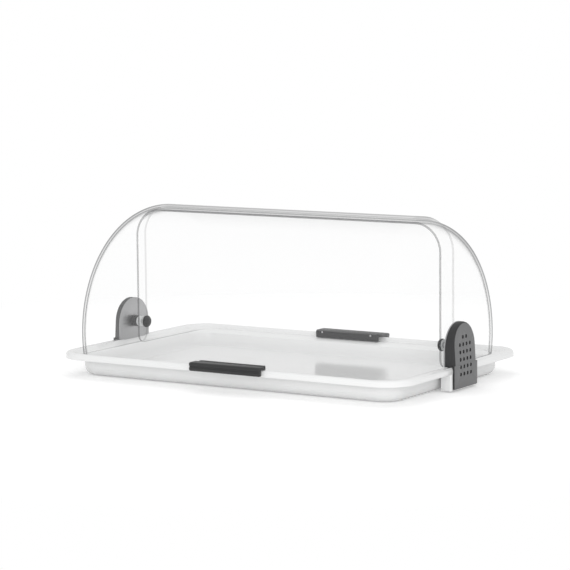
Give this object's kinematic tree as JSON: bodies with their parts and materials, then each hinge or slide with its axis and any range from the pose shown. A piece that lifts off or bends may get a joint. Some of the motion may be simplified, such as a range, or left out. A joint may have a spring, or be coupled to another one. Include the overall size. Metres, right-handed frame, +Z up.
{
  "type": "countertop bread display bin",
  "caption": "Clear roll-top bread bin for a counter: white tray base, two covers turning on one pivot line, a grip on each, and a drilled dark bracket at each end.",
  "frame": {"origin": "Middle of the footprint on the counter surface.", "axes": "X runs along the bin's length, Y from the front (minus Y) to the back, Z up."},
  "size_m": [0.44, 0.2936, 0.1805],
  "materials": {
    "white_plastic": "gloss white moulded plastic",
    "clear_plastic": "clear polished plastic sheet",
    "dark_plastic": "satin dark grey moulded plastic",
    "black_plastic": "satin black moulded plastic",
    "nylon": "pale nylon",
    "brushed_steel": "brushed stainless steel",
    "screw_steel": "plain stainless steel",
    "brass": "turned brass"
  },
  "bodies": {
    "base": {"base_tray": "white_plastic", "left_bracket_plate": "brushed_steel", "left_bracket_housing": "dark_plastic", "left_threaded_insert": "brass", "left_bracket_front_screw": "screw_steel", "left_bracket_rear_screw": "screw_steel", "left_pivot_bolt": "screw_steel", "left_cap_knob": "black_plastic", "left_inner_washer": "nylon", "left_middle_washer": "nylon", "left_outer_washer": "nylon", "left_pivot_spacer": "black_plastic", "right_bracket_plate": "brushed_steel", "right_bracket_housing": "dark_plastic", "right_threaded_insert": "brass", "right_bracket_front_screw": "screw_steel", "right_bracket_rear_screw": "screw_steel", "right_pivot_bolt": "screw_steel", "right_cap_knob": "black_plastic", "right_inner_washer": "nylon", "right_middle_washer": "nylon", "right_outer_washer": "nylon", "right_pivot_spacer": "black_plastic"},
    "front_cover": {"front_cover": "clear_plastic", "front_handle": "dark_plastic", "front_handle_clamp": "dark_plastic", "front_handle_left_screw": "screw_steel", "front_handle_right_screw": "screw_steel"},
    "rear_cover": {"rear_cover": "clear_plastic", "rear_handle": "dark_plastic", "rear_handle_clamp": "dark_plastic", "rear_handle_left_screw": "screw_steel", "rear_handle_right_screw": "screw_steel"}
  },
  "joints": [
    {"name": "front_cover_hinge", "type": "hinge", "parent": "base", "child": "front_cover", "pos_m": [0, 0, 0.0453], "axis": [-1, 0, 0], "range_deg": [0, 45]},
    {"name": "rear_cover_hinge", "type": "hinge", "parent": "base", "child": "rear_cover", "pos_m": [0, 0, 0.0453], "axis": [1, 0, 0], "range_deg": [0, 45]}
  ]
}
